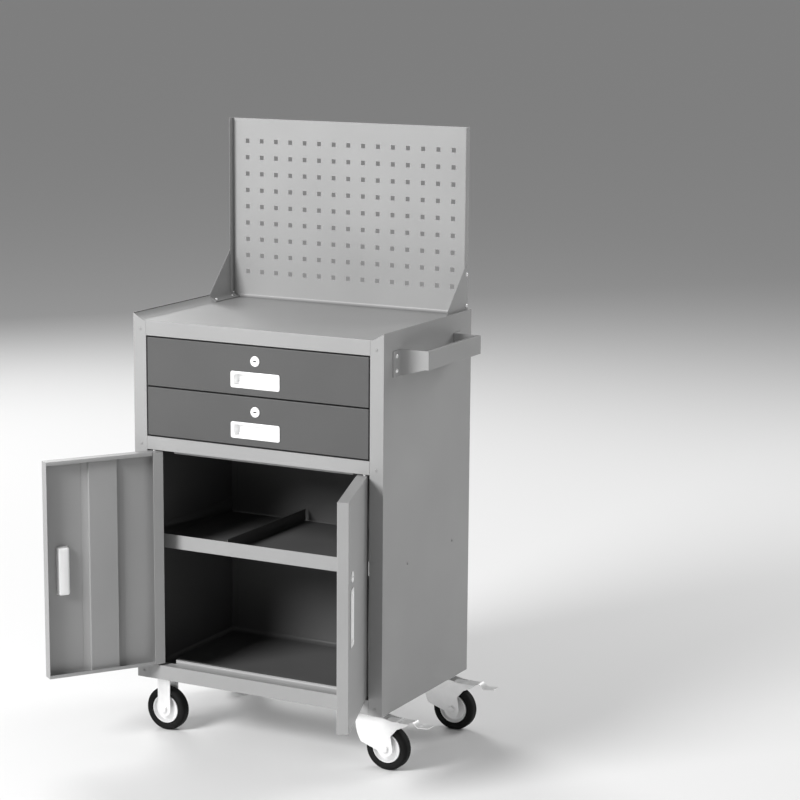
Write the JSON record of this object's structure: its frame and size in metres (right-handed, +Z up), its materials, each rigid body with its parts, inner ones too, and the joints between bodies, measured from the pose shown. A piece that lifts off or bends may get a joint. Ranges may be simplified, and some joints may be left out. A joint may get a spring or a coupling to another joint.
{
  "type": "rolling tool chest",
  "caption": "Upright steel tool chest on casters with lockable drawers over a two-door cupboard, a lipped tray top, a perforated tool board and a side push handle.",
  "frame": {"origin": "on the floor, under the middle of the chest's box with its doors open", "axes": "+X to the chest's right as seen from the front, where the push handle is; +Y from the front to the back; +Z up"},
  "size_m": [0.83, 0.6642, 1.368],
  "materials": {
    "grey_powder_coat": "fine satin powder coat",
    "dark_grey_powder_coat": "fine satin powder coat, darker",
    "bright_chrome_plate": "bright plated",
    "bright_zinc_plate": "bright zinc plate",
    "black_rubber": "moulded"
  },
  "bodies": {
    "chest": {"side_panel_left": "grey_powder_coat", "gusset_left": "grey_powder_coat", "side_panel_right": "grey_powder_coat", "gusset_right": "grey_powder_coat", "back_panel": "grey_powder_coat", "top_tray": "grey_powder_coat", "mid_panel": "grey_powder_coat", "base_pan": "grey_powder_coat", "shelf": "grey_powder_coat", "push_handle": "grey_powder_coat", "pegboard": "grey_powder_coat", "drawer_runner_lower_left": "bright_zinc_plate", "drawer_runner_lower_right": "bright_zinc_plate", "drawer_runner_upper_left": "bright_zinc_plate", "drawer_runner_upper_right": "bright_zinc_plate", "lock_strike_rail": "grey_powder_coat", "caster_fork_front_left": "bright_zinc_plate", "axle_front_left": "bright_zinc_plate", "caster_plate_front_right": "bright_zinc_plate", "caster_fork_rear_left": "bright_zinc_plate", "axle_rear_left": "bright_zinc_plate", "caster_plate_rear_right": "bright_zinc_plate"},
    "drawer_upper": {"drawer_box_upper": "dark_grey_powder_coat", "drawer_front_upper": "dark_grey_powder_coat", "drawer_pull_upper": "bright_chrome_plate", "drawer_lock_body_upper": "bright_chrome_plate"},
    "drawer_lock_upper": {"drawer_lock_plug_upper": "bright_chrome_plate"},
    "drawer_lower": {"drawer_box_lower": "dark_grey_powder_coat", "drawer_front_lower": "dark_grey_powder_coat", "drawer_pull_lower": "bright_chrome_plate", "drawer_lock_body_lower": "bright_chrome_plate"},
    "drawer_lock_lower": {"drawer_lock_plug_lower": "bright_chrome_plate"},
    "door_left": {"door_panel_left": "grey_powder_coat", "door_hinge_channel_left": "grey_powder_coat", "door_stiffener_left": "grey_powder_coat", "door_pull_left": "bright_chrome_plate", "hinge_pin_upper_left": "bright_chrome_plate", "hinge_pin_lower_left": "bright_chrome_plate"},
    "door_right": {"door_panel_right": "grey_powder_coat", "door_hinge_channel_right": "grey_powder_coat", "door_stiffener_right": "grey_powder_coat", "door_pull_right": "bright_chrome_plate", "hinge_pin_upper_right": "bright_chrome_plate", "hinge_pin_lower_right": "bright_chrome_plate", "door_lock_body": "bright_chrome_plate"},
    "door_lock": {"door_lock_plug": "bright_chrome_plate"},
    "wheel_front_left": {"tyre_front_left": "black_rubber", "wheel_rim_front_left": "bright_zinc_plate"},
    "swivel_front": {"caster_fork_front_right": "bright_zinc_plate", "axle_front_right": "bright_zinc_plate"},
    "wheel_front_right": {"tyre_front_right": "black_rubber", "wheel_rim_front_right": "bright_zinc_plate"},
    "brake_pedal_front": {"brake_pedal_front_right": "bright_zinc_plate"},
    "wheel_rear_left": {"tyre_rear_left": "black_rubber", "wheel_rim_rear_left": "bright_zinc_plate"},
    "swivel_rear": {"caster_fork_rear_right": "bright_zinc_plate", "axle_rear_right": "bright_zinc_plate"},
    "wheel_rear_right": {"tyre_rear_right": "black_rubber", "wheel_rim_rear_right": "bright_zinc_plate"},
    "brake_pedal_rear": {"brake_pedal_rear_right": "bright_zinc_plate"}
  },
  "joints": [
    {"name": "drawer_slide_upper", "type": "slide", "parent": "chest", "child": "drawer_upper", "axis": [0, -1, 0], "range_m": [0, 0.3]},
    {"name": "drawer_lock_turn_upper", "type": "hinge", "parent": "drawer_upper", "child": "drawer_lock_upper", "pos_m": [0.005, -0.08391, 0.881], "axis": [0, -1, 0], "range_deg": [0, 90]},
    {"name": "drawer_slide_lower", "type": "slide", "parent": "chest", "child": "drawer_lower", "axis": [0, -1, 0], "range_m": [0, 0.3]},
    {"name": "drawer_lock_turn_lower", "type": "hinge", "parent": "drawer_lower", "child": "drawer_lock_lower", "pos_m": [0.005, -0.08391, 0.7695], "axis": [0, -1, 0], "range_deg": [0, 90]},
    {"name": "door_hinge_left", "type": "hinge", "parent": "chest", "child": "door_left", "pos_m": [-0.261, -0.07691, 0.13], "axis": [0, 0, 1], "range_deg": [-3, 124]},
    {"name": "door_hinge_right", "type": "hinge", "parent": "chest", "child": "door_right", "pos_m": [0.27099, -0.07691, 0.13], "axis": [0, 0, 1], "range_deg": [-110, 17]},
    {"name": "door_lock_turn", "type": "hinge", "parent": "door_right", "child": "door_lock", "pos_m": [0.35367, -0.2836, 0.492], "axis": [0.9397, 0.342, 0], "range_deg": [0, 90]},
    {"name": "wheel_spin_front_left", "type": "hinge", "parent": "chest", "child": "wheel_front_left", "pos_m": [-0.257, -0.03891, 0.05], "axis": [0, 1, 0], "continuous": true},
    {"name": "caster_swivel_front", "type": "hinge", "parent": "chest", "child": "swivel_front", "pos_m": [0.26699, -0.03891, 0.13], "axis": [0, 0, 1], "continuous": true},
    {"name": "wheel_spin_front_right", "type": "hinge", "parent": "swivel_front", "child": "wheel_front_right", "pos_m": [0.313, -0.03891, 0.05], "axis": [0, 1, 0], "continuous": true},
    {"name": "brake_pedal_turn_front", "type": "hinge", "parent": "swivel_front", "child": "brake_pedal_front", "pos_m": [0.33899, -0.03891, 0.1096], "axis": [0, 1, 0], "range_deg": [0, 12]},
    {"name": "wheel_spin_rear_left", "type": "hinge", "parent": "chest", "child": "wheel_rear_left", "pos_m": [-0.257, 0.28709, 0.05], "axis": [0, 1, 0], "continuous": true},
    {"name": "caster_swivel_rear", "type": "hinge", "parent": "chest", "child": "swivel_rear", "pos_m": [0.26699, 0.28709, 0.13], "axis": [0, 0, 1], "continuous": true},
    {"name": "wheel_spin_rear_right", "type": "hinge", "parent": "swivel_rear", "child": "wheel_rear_right", "pos_m": [0.313, 0.28709, 0.05], "axis": [0, 1, 0], "continuous": true},
    {"name": "brake_pedal_turn_rear", "type": "hinge", "parent": "swivel_rear", "child": "brake_pedal_rear", "pos_m": [0.33899, 0.28709, 0.1096], "axis": [0, 1, 0], "range_deg": [0, 12]}
  ]
}
